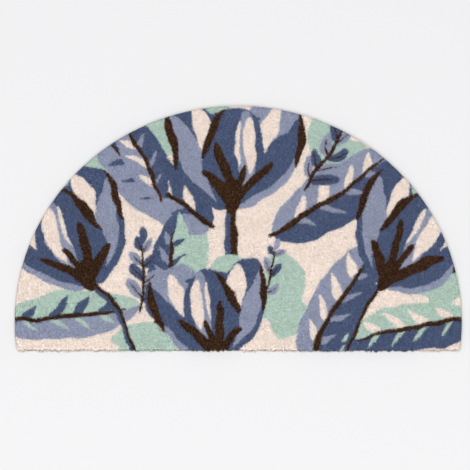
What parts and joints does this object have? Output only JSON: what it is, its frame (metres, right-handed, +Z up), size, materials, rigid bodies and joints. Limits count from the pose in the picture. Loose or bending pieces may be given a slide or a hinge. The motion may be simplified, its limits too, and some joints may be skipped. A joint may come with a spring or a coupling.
{
  "type": "half-round doormat",
  "caption": "Half-round coir doormat: one flat piece of short upright pile with a large floral print, a round back edge and a frayed straight front edge.",
  "frame": {"origin": "middle of the mat's box, on its underside", "axes": "+X to the right along the straight edge, +Y from the straight edge towards the arc, +Z up out of the pile"},
  "size_m": [0.7, 0.4, 0.015],
  "materials": {
    "printed_coir": "matt bleached coir pile, printed in cream, slate blue, grey-blue, pale mint and dark brown"
  },
  "bodies": {
    "root": {"coir_mat": "printed_coir"}
  },
  "joints": []
}
